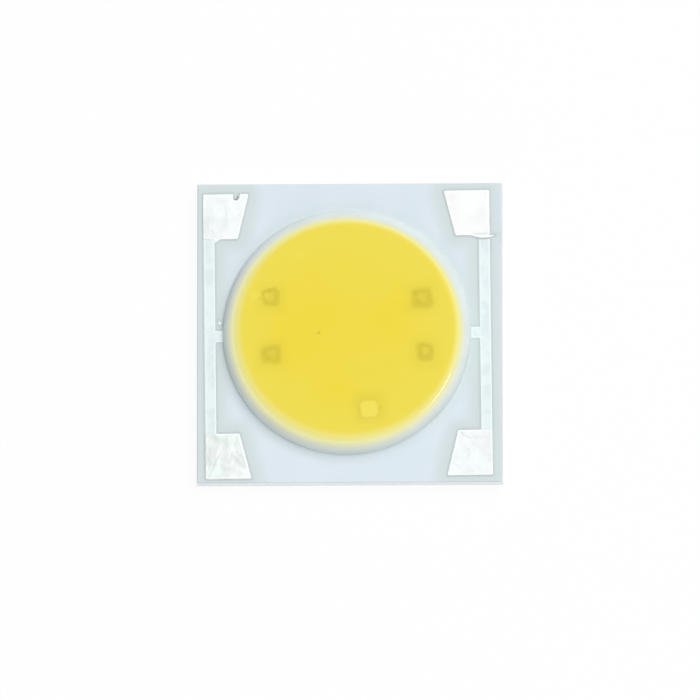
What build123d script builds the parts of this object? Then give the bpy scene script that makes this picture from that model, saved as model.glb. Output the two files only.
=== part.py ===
from build123d import *
import os
from math import atan2, cos, degrees, hypot, radians, sin, sqrt, tan

# Chip-on-board LED on a square ceramic plate, in millimetres.
# A mains-fed type: two printed silver conductors bring the mains under a round silicone dam,
# rectifier dies feed a string of LED dies through a regulator die, and yellow phosphor gel
# fills the dam and covers them all. The frame has +Z up through the light window, +Y towards
# the edge opposite the regulator, and its origin at the middle of the plate's underside.

# Ceramic plate: alumina, laser scribed on top and snapped out of a panel
plate_x = 14.0
plate_y = 14.0
plate_thickness = 0.635
scribe_chamfer = 0.03

# Registration: where the panel's artwork landed on the snapped plate
artwork_shift_x = -0.105
artwork_shift_y = -0.078
artwork_turn = 0.66

# Printed silver film
film_thickness = 0.025
bus_width = 0.515
bus_under_pad = 1.50
stub_width = 0.53

# Tinned solder pads: right-angled trapeziums in the corners
pad_span_x = 13.13
pad_span_y = 13.32
pad_wide = 2.10
pad_narrow = 1.575
pad_length = 2.12
pad_thickness = 0.06
pad_edge_slope = 0.02
pad_corner_round = 0.07

# Nick in the outer end of the upper left pad
nick_from_side = 1.55
nick_width = 0.28
nick_depth = 0.30
nick_lean = -14.0

# Web of solder between the foot of the upper left pad and its bus
web_reach = 0.24
web_drop = 0.17
web_thickness = 0.045

# Lip of solder that sags over the bus at the foot of the upper right pad
lip_length = 1.10
lip_overhang = 0.26
lip_sag = 0.13
lip_thickness = 0.045

# Small printed index mark beside the left stub
mark_width = 0.17
mark_height = 0.20
mark_from_bus = 0.15
mark_from_stub = 0.30

# Silicone dam: a bead with steep flanks and a rounded crest, laid in a ring a little off the print's middle
dam_shift_x = -0.015
dam_shift_y = 0.10
dam_outer_radius = 5.72
dam_width = 1.07
dam_height = 0.50
dam_flank_lean = 25.0
dam_round = 0.18

# Phosphor gel: stands level above the dam, with a rounded shoulder down to the dam's crest
shoulder_width = 0.475
shoulder_height = 0.05

# Direct current rails: arcs of film just inside the dam's inner foot
rail_width = 0.40
rail_from_dam = 0.08
rail_half_angle = 62.0
positive_rail_angle = 90.0
negative_rail_angle = 270.0
rail_bond_inset = 6.0
neck_width = 0.40

# Rectifier dies: mesa diodes in two columns inside the dam
diode_side = 0.80
diode_thickness = 0.25
diode_mesa = 0.06
diode_contact = 0.42
diode_from_dam = 1.15
diode_upper_y = 1.61
diode_lower_y = -0.955
upper_row_skew = 0.04
seat_margin = 0.12

# Regulator die
regulator_side = 0.75
regulator_thickness = 0.20
regulator_x = 0.975
regulator_from_dam = 1.10
regulator_contact = 0.14
regulator_contact_inset = 0.18
regulator_wire_reach = 0.75

# LED dies: a grid spread over the space between the rails and the rectifiers' lands
led_length = 0.70
led_width = 0.45
led_thickness = 0.15
led_bond_inset = 0.10
led_columns = 5
led_rows = 7
led_gap = 0.10

# Metal contacts on the rectifier and regulator dies
contact_thickness = 0.01

# Gold bond wires, drawn four-sided
wire_diameter = 0.03
wire_sides = 4
loop_rise = 0.16
landing_rise = 0.05

# Worked out from the sizes above
dam_inner_radius = dam_outer_radius - dam_width
dam_crest_radius = dam_outer_radius - dam_width / 2
dam_flank_run = dam_height * tan(radians(dam_flank_lean))
dam_offset = hypot(dam_shift_x, dam_shift_y)
rail_radius = dam_inner_radius - dam_offset - rail_from_dam - rail_width / 2
rail_inner_radius = rail_radius - rail_width / 2
diode_column = dam_inner_radius - diode_from_dam
diode_seat = diode_side + 2 * seat_margin
regulator_seat = regulator_side + 2 * seat_margin
regulator_y = regulator_from_dam - dam_inner_radius
led_field_side = diode_column - diode_seat / 2 - led_gap
led_pitch_x = (2 * led_field_side - led_length) / (led_columns - 1)
top_row_reach = (led_columns - 3) / 2 * led_pitch_x + led_length / 2
top_row_y = sqrt((rail_inner_radius - led_gap) ** 2 - top_row_reach**2) - led_width / 2
led_pitch_y = 2 * top_row_y / (led_rows - 1)
bus_middle = (pad_span_x - bus_width) / 2
bus_length = pad_span_y - 2 * (pad_length - bus_under_pad)

artwork = Plane(
    origin=(artwork_shift_x, artwork_shift_y, plate_thickness),
    x_dir=(cos(radians(artwork_turn)), sin(radians(artwork_turn)), 0),
    z_dir=(0, 0, 1),
)
dam_centre = artwork.from_local_coords(Vector(dam_shift_x, dam_shift_y, 0))
bead_section = Plane(origin=dam_centre, x_dir=artwork.x_dir, z_dir=-artwork.y_dir)
dam_axis = Axis(dam_centre, artwork.z_dir)

SIDES = {"left": -1, "right": 1}
ENDS = {"upper": 1, "lower": -1}

os.makedirs("parts", exist_ok=True)


def finish(builder, name):
    """Labels a finished piece, writes it and hands it back."""
    builder.part.label = name
    export_step(builder.part, f"parts/{name}.step")
    return builder.part


def strip(x, y_from, y_to, width):
    """Adds an upright strip of film to the sketch."""
    with Locations((x, (y_from + y_to) / 2)):
        Rectangle(width, abs(y_to - y_from))


def rail_line(middle_angle):
    """The middle line of an arc of film inside the dam."""
    return CenterArc((0, 0), rail_radius, middle_angle - rail_half_angle, 2 * rail_half_angle)


def rail_point(angle):
    """A point on a rail's middle line, at an angle from +X in degrees."""
    turn = radians(angle)
    return Vector(rail_radius * cos(turn), rail_radius * sin(turn), film_thickness)


# Ceramic plate
with BuildPart() as plate:
    with BuildSketch():
        Rectangle(plate_x, plate_y)
    extrude(amount=plate_thickness)
    chamfer(plate.faces().sort_by(Axis.Z)[-1].edges(), length=scribe_chamfer)
finish(plate, "ceramic_plate")


# Mains conductors: bus, stub under the dam, and the land that seats a rectifier die
def make_conductor(side):
    land_bottom = diode_lower_y - diode_seat / 2
    with BuildPart() as film:
        with BuildSketch(artwork):
            strip(side * bus_middle, -bus_length / 2, bus_length / 2, bus_width)
            with Locations((side * (bus_middle + diode_column) / 2, 0)):
                Rectangle(bus_middle - diode_column, stub_width)
            strip(side * diode_column, land_bottom, stub_width / 2, diode_seat)
        extrude(amount=film_thickness)
    return film


conductors = {}
for side_name, side in SIDES.items():
    conductors[side_name] = finish(make_conductor(side), f"{side_name}_conductor")

# Positive rail: seats the two upper rectifier dies
positive_line = rail_line(positive_rail_angle)
rail_over_seat = sqrt(rail_radius**2 - diode_column**2)
with BuildPart() as positive_film:
    with BuildSketch(artwork):
        SlotArc(positive_line, rail_width)
        for side in SIDES.values():
            strip(side * diode_column, diode_upper_y, rail_over_seat, neck_width)
            with Locations((side * diode_column, diode_upper_y)):
                Rectangle(diode_seat, diode_seat)
    extrude(amount=film_thickness)
positive_rail = finish(positive_film, "positive_rail")

# Negative rail: seats the regulator die
negative_line = rail_line(negative_rail_angle)
rail_under_regulator = -sqrt(rail_radius**2 - regulator_x**2)
with BuildPart() as negative_film:
    with BuildSketch(artwork):
        SlotArc(negative_line, rail_width)
        strip(regulator_x, rail_under_regulator, regulator_y + regulator_seat / 2, regulator_seat)
    extrude(amount=film_thickness)
negative_rail = finish(negative_film, "negative_rail")

# Index mark: a small right-angled triangle
mark_left = -(pad_span_x / 2 - bus_width - mark_from_bus)
mark_foot = stub_width / 2 + mark_from_stub
with BuildPart() as mark_film:
    with BuildSketch(artwork):
        with BuildLine():
            Polyline(
                (mark_left, mark_foot),
                (mark_left + mark_width, mark_foot),
                (mark_left, mark_foot + mark_height),
                close=True,
            )
        make_face()
    extrude(amount=film_thickness)
index_mark = finish(mark_film, "index_mark")


# Solder pads: each lies on the ceramic and steps up over the end of its bus
def make_pad(side_name, end_name):
    side, end = SIDES[side_name], ENDS[end_name]
    outer_x, outer_y = side * pad_span_x / 2, end * pad_span_y / 2
    inner_y = outer_y - end * pad_length
    with BuildPart() as pad:
        with BuildSketch(artwork) as outline:
            with BuildLine():
                Polyline(
                    (outer_x, outer_y),
                    (outer_x - side * pad_wide, outer_y),
                    (outer_x - side * pad_narrow, inner_y),
                    (outer_x, inner_y),
                    close=True,
                )
            make_face()
            fillet(outline.vertices(), radius=pad_corner_round)
            if (end_name, side_name) == ("upper", "left"):
                with Locations(Location((outer_x - side * nick_from_side, outer_y, 0), nick_lean)):
                    SlotOverall(2 * nick_depth, nick_width, rotation=90, mode=Mode.SUBTRACT)
        extrude(amount=pad_thickness)
        chamfer(pad.faces().sort_by(Axis.Z)[-1].edges(), length=pad_edge_slope)
        if (end_name, side_name) == ("upper", "left"):
            bus_edge = outer_x - side * bus_width
            with BuildSketch(artwork):
                with BuildLine():
                    Polyline(
                        (bus_edge, inner_y),
                        (bus_edge - side * web_reach, inner_y),
                        (bus_edge, inner_y - end * web_drop),
                        close=True,
                    )
                make_face()
            extrude(amount=web_thickness)
        if (end_name, side_name) == ("upper", "right"):
            lip_tip = outer_x + side * lip_overhang
            lip_root = lip_tip - side * lip_length
            lip_belly = ((lip_root + lip_tip) / 2, inner_y - end * lip_sag)
            with BuildSketch(artwork):
                with BuildLine():
                    Line((lip_root, inner_y), (lip_tip, inner_y))
                    ThreePointArc((lip_tip, inner_y), lip_belly, (lip_root, inner_y))
                make_face()
            extrude(amount=lip_thickness)
        add(conductors[side_name], mode=Mode.SUBTRACT)
    return pad


for end_name in ENDS:
    for side_name in SIDES:
        finish(make_pad(side_name, end_name), f"solder_pad_{end_name}_{side_name}")


# Dies: a flat body, which may have sloped top edges and square metal contacts
def make_die(centre, base, size, thickness, contacts=(), contact_side=0.0, mesa=0.0):
    with BuildPart() as die:
        with BuildSketch(artwork.offset(base)):
            with Locations(centre):
                Rectangle(*size)
        extrude(amount=thickness)
        if mesa:
            chamfer(die.faces().sort_by(Axis.Z)[-1].edges(), length=mesa)
        if contacts:
            with BuildSketch(artwork.offset(base + thickness)):
                with Locations(*contacts):
                    Rectangle(contact_side, contact_side)
            extrude(amount=contact_thickness)
    return die


dies = []

# Rectifier dies: the upper row was bonded a little askew
diode_size = (diode_side, diode_side)
diode_top = film_thickness + diode_thickness + contact_thickness
diode_rows = {"upper": (diode_upper_y, upper_row_skew), "lower": (diode_lower_y, 0)}
diode_contacts = {}
for end_name, (row_y, skew) in diode_rows.items():
    for side_name, side in SIDES.items():
        spot = (side * diode_column, row_y - side * skew)
        diode_contacts[end_name, side] = Vector(*spot, diode_top)
        diode = make_die(spot, film_thickness, diode_size, diode_thickness, [spot], diode_contact, diode_mesa)
        dies.append(finish(diode, f"rectifier_die_{end_name}_{side_name}"))

# Regulator die: one contact takes the LED string, the other goes to the negative rail
regulator_size = (regulator_side, regulator_side)
regulator_top = film_thickness + regulator_thickness + contact_thickness
regulator_reach = regulator_side / 2 - regulator_contact_inset
regulator_in = (regulator_x - regulator_reach, regulator_y + regulator_reach)
regulator_out = (regulator_x + regulator_reach, regulator_y - regulator_reach)
regulator = make_die(
    (regulator_x, regulator_y),
    film_thickness,
    regulator_size,
    regulator_thickness,
    [regulator_in, regulator_out],
    regulator_contact,
)
dies.append(finish(regulator, "regulator_die"))


# LED dies, in the order of the string
def site_is_free(x, y):
    """True where a die clears the rails and the regulator's land."""
    corner = hypot(abs(x) + led_length / 2, abs(y) + led_width / 2)
    beside_regulator = abs(x - regulator_x) >= (led_length + regulator_seat) / 2 + led_gap
    above_regulator = y - led_width / 2 - led_gap >= regulator_y + regulator_seat / 2
    return corner < rail_inner_radius and (beside_regulator or above_regulator)


def string_sites():
    """Centre and direction of each die: every row runs opposite to the row above it."""
    sites = []
    for row in range(led_rows):
        y = top_row_y - row * led_pitch_y
        way = 1 if row % 2 == 0 else -1
        for column in range(led_columns):
            x = way * (column - (led_columns - 1) / 2) * led_pitch_x
            if site_is_free(x, y):
                sites.append((x, y, way))
    return sites


led_size = (led_length, led_width)
led_reach = led_length / 2 - led_bond_inset
led_entries = []
led_exits = []
for number, (x, y, way) in enumerate(string_sites(), start=1):
    entry = (x - way * led_reach, y)
    leave = (x + way * led_reach, y)
    led = make_die((x, y), 0, led_size, led_thickness)
    dies.append(finish(led, f"led_die_{number:02d}"))
    led_entries.append(Vector(*entry, led_thickness))
    led_exits.append(Vector(*leave, led_thickness))


# Bond wires: straight up from one contact, across, and straight down on the next
def make_wire(start, end):
    corners = [start, start + Vector(0, 0, loop_rise), end + Vector(0, 0, landing_rise), end]
    with BuildPart() as wire:
        with BuildLine() as loop:
            Polyline(*[artwork.from_local_coords(corner) for corner in corners])
        with BuildSketch(Plane(loop.line @ 0, z_dir=loop.line % 0)):
            RegularPolygon(wire_diameter / 2, wire_sides)
        sweep(path=loop.line, transition=Transition.RIGHT)
    return wire.part


def make_bundle(spans):
    loops = [make_wire(start, end) for start, end in spans]
    with BuildPart() as bundle:
        add(loops)
    return bundle


# The string's wires: from the positive rail, through every die, to the regulator
string_start = rail_point(degrees(atan2(led_entries[0].Y, led_entries[0].X)))
string_spans = [(led_entries[0], string_start)]
string_spans += zip(led_exits, led_entries[1:])
string_spans += [(Vector(*regulator_in, regulator_top), led_exits[-1])]
led_bond_wires = finish(make_bundle(string_spans), "led_bond_wires")

# The rectifiers' wires: each upper die to its mains land, each lower die to the negative rail
diode_spans = []
for side in SIDES.values():
    mains_land = Vector(side * diode_column, 0, film_thickness)
    negative_end = rail_point(negative_rail_angle + side * (rail_half_angle - rail_bond_inset))
    diode_spans += [(diode_contacts["upper", side], mains_land)]
    diode_spans += [(diode_contacts["lower", side], negative_end)]
rectifier_bond_wires = finish(make_bundle(diode_spans), "rectifier_bond_wires")

# The regulator's wire to the negative rail
regulator_angle = degrees(atan2(regulator_out[1], regulator_out[0] + regulator_wire_reach))
regulator_span = (Vector(*regulator_out, regulator_top), rail_point(regulator_angle))
regulator_bond_wire = finish(make_bundle([regulator_span]), "regulator_bond_wire")

films = [*conductors.values(), positive_rail, negative_rail, index_mark]
wires = [led_bond_wires, rectifier_bond_wires, regulator_bond_wire]

# Silicone dam: the bead's section turned about the dam's axis, laid over the films
inner_foot = (dam_inner_radius, 0)
inner_corner = (dam_inner_radius + dam_flank_run, dam_height)
outer_corner = (dam_outer_radius - dam_flank_run, dam_height)
outer_foot = (dam_outer_radius, 0)
with BuildPart() as dam:
    with BuildSketch(bead_section):
        with BuildLine():
            FilletPolyline(inner_foot, inner_corner, outer_corner, outer_foot, radius=dam_round)
            Line(outer_foot, inner_foot)
        make_face()
    revolve(axis=dam_axis)
    add(films, mode=Mode.SUBTRACT)
finish(dam, "silicone_dam")

# Phosphor gel: poured round the dies and wires, and out to the middle of the dam's crest
gel_height = dam_height + shoulder_height
shoulder_start = (dam_crest_radius - shoulder_width, gel_height)
gel_edge = (dam_crest_radius, dam_height)
with BuildPart() as gel:
    with BuildSketch(bead_section):
        with BuildLine():
            FilletPolyline(inner_foot, inner_corner, gel_edge, radius=dam_round)
            TangentArc(shoulder_start, gel_edge, tangent=(1, 0))
            Polyline(shoulder_start, (0, gel_height), (0, 0), inner_foot)
        make_face()
    revolve(axis=dam_axis)
    add([*films, *dies, *wires], mode=Mode.SUBTRACT)
finish(gel, "phosphor_gel")
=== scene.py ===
# %% [markdown]
# # A chip-on-board LED, dressed for a close look
#
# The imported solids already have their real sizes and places. This lesson gives each visible piece the surface of
# the real one: snapped ceramic, printed silver, crinkled tin, a silicone bead and yellow phosphor gel.
# No solid is moved or resized. Each new mesh is laid where its solid lies, and then stands for it.

# %% Load the solids
import math

import bpy
import numpy as np
from mathutils import Matrix, Vector, geometry, noise


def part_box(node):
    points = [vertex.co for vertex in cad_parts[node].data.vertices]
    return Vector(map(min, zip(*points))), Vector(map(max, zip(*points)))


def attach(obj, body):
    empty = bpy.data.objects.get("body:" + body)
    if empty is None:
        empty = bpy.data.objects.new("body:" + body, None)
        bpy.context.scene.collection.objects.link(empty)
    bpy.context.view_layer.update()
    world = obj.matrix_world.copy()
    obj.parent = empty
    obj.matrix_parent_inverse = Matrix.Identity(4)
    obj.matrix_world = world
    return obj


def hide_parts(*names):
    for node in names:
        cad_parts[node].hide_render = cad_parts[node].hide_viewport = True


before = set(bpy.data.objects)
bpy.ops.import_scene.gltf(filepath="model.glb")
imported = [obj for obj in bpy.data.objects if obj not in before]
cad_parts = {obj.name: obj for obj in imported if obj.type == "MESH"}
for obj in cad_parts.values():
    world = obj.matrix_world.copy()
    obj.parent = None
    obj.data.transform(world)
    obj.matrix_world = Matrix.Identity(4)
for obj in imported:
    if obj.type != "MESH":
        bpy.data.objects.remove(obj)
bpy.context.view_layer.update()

# %% [markdown]
# ## The print's own axes
#
# On the real part the screen print landed a little turned and shifted on the plate, so the plate's edges are a poor
# guide to where the print lies. The gel is round, so the middle of its box is the dam's axis, and the lower row of
# rectifier dies gives the turn. From here on, places are in millimetres along the print's axes, with height over the
# plate.

# %% Find the dam's axis and the print's turn
MM = 0.001


def middle(node):
    """The middle of a solid's box."""
    low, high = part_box(node)
    return (low + high) / 2


dam_axis = middle("phosphor_gel")
plate_low, plate_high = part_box("ceramic_plate")
plate_top = plate_high.z
along_row = middle("rectifier_die_lower_right") - middle("rectifier_die_lower_left")
print_turn = math.atan2(along_row.y, along_row.x)
print("print turned by", round(math.degrees(print_turn), 2), "degrees about", dam_axis)


# %% Go between the print and the frame
def to_frame(points):
    """Points of the print, in millimetres, as points of the frame, in metres."""
    x, y, z = np.asarray(points, float).T
    c, s = math.cos(print_turn), math.sin(print_turn)
    return np.column_stack(
        [dam_axis.x + MM * (x * c - y * s), dam_axis.y + MM * (x * s + y * c), plate_top + MM * z]
    )


def to_print(points):
    """Points of the frame, in metres, as points of the print, in millimetres."""
    x, y, z = np.asarray(points, float).T / MM
    c, s = math.cos(print_turn), math.sin(print_turn)
    x, y = x - dam_axis.x / MM, y - dam_axis.y / MM
    return np.column_stack([x * c + y * s, y * c - x * s, z - plate_top / MM])


def node_points(node):
    """A solid's corners, in the print's millimetres."""
    return to_print([corner.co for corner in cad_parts[node].data.vertices])


# %% [markdown]
# ## Outlines from the solids
#
# A printed film is its outline with a little height. The outline could be typed in again, but the solid already has
# it: an edge of its underside that only one face uses lies on the outline. So the outline is read from there. Where
# the underside steps up onto another film, the walk can run along the step and straight back, so such spikes are cut.


# %% Read the outline of a solid's underside
STRAIGHT_BACK = 0.9999


def without_spikes(ring):
    """The ring without corners where it turns straight back."""
    for index, spot in enumerate(ring):
        back, ahead = ring[index - 1] - spot, ring[(index + 1) % len(ring)] - spot
        lengths = np.linalg.norm(back) * np.linalg.norm(ahead)
        if back @ ahead >= STRAIGHT_BACK * lengths:
            return without_spikes(np.delete(ring, index, axis=0))
    return ring


def footprint(node):
    """The outline of a solid, counterclockwise from above."""
    spots = [tuple(spot) for spot in node_points(node)[:, :2].round(4)]
    edges = set()
    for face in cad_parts[node].data.polygons:
        if face.normal.z < -0.5:
            corners = [spots[index] for index in face.vertices]
            edges.update(zip(corners, corners[1:] + corners[:1]))
    next_spot = {end: start for start, end in edges if (end, start) not in edges}
    ring = [max(next_spot, key=lambda spot: math.hypot(*spot))]
    while next_spot[ring[-1]] != ring[0]:
        ring.append(next_spot[ring[-1]])
    return without_spikes(np.array(ring))


conductor_outlines = {side: footprint(f"{side}_conductor") for side in ("left", "right")}
print("corners:", {side: len(ring) for side, ring in conductor_outlines.items()})


# %% [markdown]
# ## Filling an outline with a fine mesh
#
# A crinkled film needs many small triangles, and they have to follow the outline. A grid cut by the outline leaves
# ragged edges. A constrained triangulation takes the outline, some rings just inside it for the rounded edge, and a
# grid of points for the rest, and joins them into even triangles.


# %% Measure points against an outline
def resample(outline, step):
    """The outline with points no further apart than step."""
    ring = []
    for start, end in zip(outline, np.roll(outline, -1, axis=0)):
        count = max(1, math.ceil(np.linalg.norm(end - start) / step))
        ring += [start + (end - start) * index / count for index in range(count)]
    return np.array(ring)


def inward(ring):
    """Unit arrows from each point of a ring to its inside."""
    along = np.roll(ring, -1, axis=0) - np.roll(ring, 1, axis=0)
    arrows = np.column_stack([-along[:, 1], along[:, 0]])
    return arrows / np.linalg.norm(arrows, axis=1, keepdims=True)


def distance_to_line(points, start, end):
    """Distance from each point to a straight piece of line."""
    run = np.subtract(end, start)
    part = np.clip((points - start) @ run / (run @ run), 0, 1)
    return np.linalg.norm(points - start - part[:, None] * run, axis=1)


def distance_to(points, ring):
    """Distance from each point to a closed outline."""
    nearest = np.full(len(points), np.inf)
    for start, end in zip(ring, np.roll(ring, -1, axis=0)):
        nearest = np.minimum(nearest, distance_to_line(points, start, end))
    return nearest


def inside(points, ring):
    """True for each point inside a closed outline."""
    odd = np.zeros(len(points), bool)
    for (x0, y0), (x1, y1) in zip(ring, np.roll(ring, -1, axis=0)):
        if y0 != y1:
            crosses = (points[:, 1] > min(y0, y1)) & (points[:, 1] <= max(y0, y1))
            odd ^= crosses & (points[:, 0] < x0 + (points[:, 1] - y0) * (x1 - x0) / (y1 - y0))
    return odd


def well_inside(points, ring, gap):
    """The points that lie inside a closed outline and further than gap from it."""
    points = points[inside(points, ring)]
    return points[distance_to(points, ring) > gap]


def grid_over(ring, spacing):
    """Staggered rows of points over an outline's box."""
    low, high = ring.min(axis=0), ring.max(axis=0)
    rows = np.arange(low[1], high[1], spacing * math.sqrt(3) / 2)
    columns = np.arange(low[0], high[0], spacing)
    return np.array([(x + (row % 2) * spacing / 2, y) for row, y in enumerate(rows) for x in columns])


def falloff(distance, width):
    """1 at no distance, and less and less beyond the width."""
    return np.exp(-((distance / width) ** 2))


# %% Triangulate an outline with points inside it
MERGE_GAP = 1e-5


def round_pairs(count):
    """Each number with the next one, round a closed ring."""
    return [(index, (index + 1) % count) for index in range(count)]


def fill(ring, inner_points):
    """Points and triangles that fill a ring."""
    flat = [Vector(point) for point in np.vstack([ring, inner_points])]
    spots, _, triangles, *_ = geometry.delaunay_2d_cdt(flat, round_pairs(len(ring)), [], 1, MERGE_GAP)
    return np.array(spots), [list(triangle) for triangle in triangles]


def rim_edges(triangles):
    """The edges that only one triangle uses, in the triangles' own direction."""
    edges = {edge for face in triangles for edge in zip(face, face[1:] + face[:1])}
    return [(start, end) for start, end in sorted(edges) if (end, start) not in edges]


def at_height(spots, height):
    """Flat points lifted to a height, or each to its own."""
    return np.column_stack([spots, np.broadcast_to(height, len(spots))])


def closed_sheet(spots, triangles, bottom, top):
    """A sheet with a top, an underside and an edge all round."""
    count = len(spots)
    points = np.vstack([at_height(spots, top), at_height(spots, bottom)])
    faces = triangles + [[corner + count for corner in reversed(face)] for face in triangles]
    faces += [[end, start, start + count, end + count] for start, end in rim_edges(triangles)]
    return points, faces


def ripple(points, size, layer):
    """Smooth hills and hollows from about -1 to 1, as wide as size."""
    return np.array([noise.noise((x / size, y / size, layer)) for x, y in points])


# %% Put a finished mesh in the place of a solid
SMOOTH_ANGLE = math.radians(40)


def add_object(name, data):
    """A new object in the scene."""
    made = bpy.data.objects.new(name, data)
    bpy.context.scene.collection.objects.link(made)
    return made


def make_piece(name, points, faces, material, stands_for, attributes=None):
    """A new piece in the frame, with a finish, that stands for a solid."""
    mesh = bpy.data.meshes.new(name)
    mesh.from_pydata(to_frame(points).tolist(), [], faces)
    for key, values in (attributes or {}).items():
        layer = mesh.attributes.new(key, "FLOAT", "POINT")
        layer.data.foreach_set("value", np.asarray(values, np.float32))
    mesh.shade_smooth()
    mesh.set_sharp_from_angle(angle=SMOOTH_ANGLE)
    mesh.materials.append(material)
    piece = add_object(name, mesh)
    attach(piece, "root")
    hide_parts(stands_for)
    print(name, "stands for", stands_for, "with", len(faces), "faces")
    return piece


# %% [markdown]
# ## Shader helpers
#
# Every finish below is a small network of nodes. Adding a node, setting it and linking it takes several lines each
# time, so a helper does all three. Values are given by socket name or number, and an output of another node makes
# a link.


# %% Add nodes in one line each
def add_node(tree, kind, inputs=None, **settings):
    """Adds a shader node, sets it up, and fills or links its inputs."""
    node = tree.nodes.new("ShaderNode" + kind)
    for key, value in settings.items():
        setattr(node, key, value)
    for key, value in (inputs or {}).items():
        if isinstance(value, bpy.types.NodeSocket):
            tree.links.new(value, node.inputs[key])
        else:
            node.inputs[key].default_value = value
    return node


def calculate(tree, operation, first, second=0.0):
    """One sum of two values."""
    return add_node(tree, "Math", {0: first, 1: second}, operation=operation).outputs[0]


def ramp(tree, value, start, end, low=0.0, high=1.0):
    """Goes smoothly from low to high as the value goes from start to end."""
    inputs = {"Value": value, "From Min": start, "From Max": end, "To Min": low, "To Max": high}
    return add_node(tree, "MapRange", inputs, interpolation_type="SMOOTHSTEP").outputs[0]


def mix_colours(tree, mask, below, above, share=1.0):
    """Lays a share of one colour over another where the mask is 1."""
    mask = mask if share == 1 else calculate(tree, "MULTIPLY", mask, share)
    # The mix node's colours are its inputs 6 and 7 and its output 2.
    return add_node(tree, "Mix", {0: mask, 6: below, 7: above}, data_type="RGBA").outputs[2]


def new_group(name, inputs, outputs):
    """An empty node group with named sockets, and its two end nodes."""
    tree = bpy.data.node_groups.new(name, "ShaderNodeTree")
    for in_out, sockets in (("INPUT", inputs), ("OUTPUT", outputs)):
        for socket, kind in sockets.items():
            tree.interface.new_socket(name=socket, in_out=in_out, socket_type="NodeSocket" + kind)
    print("group:", name)
    return tree, tree.nodes.new("NodeGroupInput").outputs, tree.nodes.new("NodeGroupOutput").inputs


def placed(tree, group, inputs=None):
    """The output of a group that is placed in a tree."""
    return add_node(tree, "Group", inputs, node_tree=group).outputs[0]


def new_finish(name):
    """A new material and its tree."""
    material = bpy.data.materials.new(name)
    material.use_nodes = True
    print("finish:", name)
    return material, material.node_tree


def dress(tree, colour, roughness, metallic=0.0):
    """Gives a material's shader its colour and its roughness, and makes it more or less metallic."""
    inputs = tree.nodes["Principled BSDF"].inputs
    tree.links.new(colour, inputs["Base Color"])
    tree.links.new(roughness, inputs["Roughness"])
    inputs["Metallic"].default_value = metallic


# %% [markdown]
# ## Shared effects as node groups
#
# Ceramic, tin, silicone and gel are all cloudy or grainy at some scale, and the bead and the gel both change colour
# with their distance from the dam's axis. Each such effect is one node group, and a function that places it in a
# material with its own values. The groups put out masks and places only, and the shaders stay in the materials.

# %% Group: clouds and grain of any size
clouds_group, given, result = new_group(
    "Clouds", {"Size": "Float", "Detail": "Float", "Start": "Float", "End": "Float"}, {"Mask": "Float"}
)
place = add_node(clouds_group, "TexCoord").outputs["Object"]
scale = calculate(clouds_group, "DIVIDE", 1 / MM, given["Size"])
cloud = add_node(clouds_group, "TexNoise", {"Vector": place, "Scale": scale, "Detail": given["Detail"]})
cloud_mask = ramp(clouds_group, cloud.outputs[0], given["Start"], given["End"])
clouds_group.links.new(cloud_mask, result["Mask"])


def clouds(tree, size, detail, start, end):
    """Cloudy mask, with clouds of a size in millimetres."""
    return placed(tree, clouds_group, {"Size": size, "Detail": detail, "Start": start, "End": end})


# %% Group: the place on the print, in millimetres
place_group, given, result = new_group("Print place", {}, {"Place": "Vector"})
place = add_node(place_group, "TexCoord").outputs["Object"]
from_axis = add_node(place_group, "VectorMath", {0: place, 1: dam_axis}, operation="SUBTRACT").outputs[0]
turned = add_node(place_group, "VectorRotate", {"Vector": from_axis, "Angle": -print_turn}, rotation_type="Z_AXIS")
in_mm = add_node(place_group, "VectorMath", {0: turned.outputs[0], "Scale": 1 / MM}, operation="SCALE")
place_group.links.new(in_mm.outputs[0], result["Place"])


# %% Group: a mask that grows with the distance from the dam's axis
def flat_place(tree):
    """The place on the print without its height, and its distance from the dam's axis."""
    place = placed(tree, place_group)
    flat = add_node(tree, "VectorMath", {0: place, 1: (1, 1, 0)}, operation="MULTIPLY").outputs[0]
    return flat, add_node(tree, "VectorMath", {0: flat}, operation="LENGTH").outputs["Value"]


ring_group, given, result = new_group("Ring", {"Start": "Float", "End": "Float"}, {"Mask": "Float"})
flat, radius = flat_place(ring_group)
ring_group.links.new(ramp(ring_group, radius, given["Start"], given["End"]), result["Mask"])


def ring_mask(tree, start, end):
    """Mask from 0 to 1 between two distances from the dam's axis."""
    return placed(tree, ring_group, {"Start": start, "End": end})


# %% Group: how far the gel has thinned out on the dam, from -1 to 1 across the middle of the fade
FADE_RADIUS, FADE_HALF_WIDTH, FADE_LEAN = 5.155, 0.210, 0.085
TO_CREAM, TO_SILICONE = (-1.75, 0.35), (-0.3, 1.85)
STEEP_ANGLE = math.radians(60)
STEEP_SIDE = (math.cos(STEEP_ANGLE), math.sin(STEEP_ANGLE), 0)
thinning_group, given, result = new_group("Gel thinning", {}, {"Stage": "Float"})
flat, radius = flat_place(thinning_group)
way = add_node(thinning_group, "VectorMath", {0: flat}, operation="NORMALIZE").outputs[0]
lean = add_node(thinning_group, "VectorMath", {0: way, 1: STEEP_SIDE}, operation="DOT_PRODUCT").outputs["Value"]
narrowing = calculate(thinning_group, "MULTIPLY", lean, FADE_LEAN)
half_width = calculate(thinning_group, "SUBTRACT", FADE_HALF_WIDTH, narrowing)
beyond = calculate(thinning_group, "SUBTRACT", radius, FADE_RADIUS)
thinning_group.links.new(calculate(thinning_group, "DIVIDE", beyond, half_width), result["Stage"])


def fade_out(tree, gel_colour, silicone_colour):
    """The gel's colour, then cream, then the silicone's, as the gel thins out."""
    stage = placed(tree, thinning_group)
    colour = mix_colours(tree, ramp(tree, stage, *TO_CREAM), gel_colour, GEL_CREAM)
    return mix_colours(tree, ramp(tree, stage, *TO_SILICONE), colour, silicone_colour)


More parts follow.
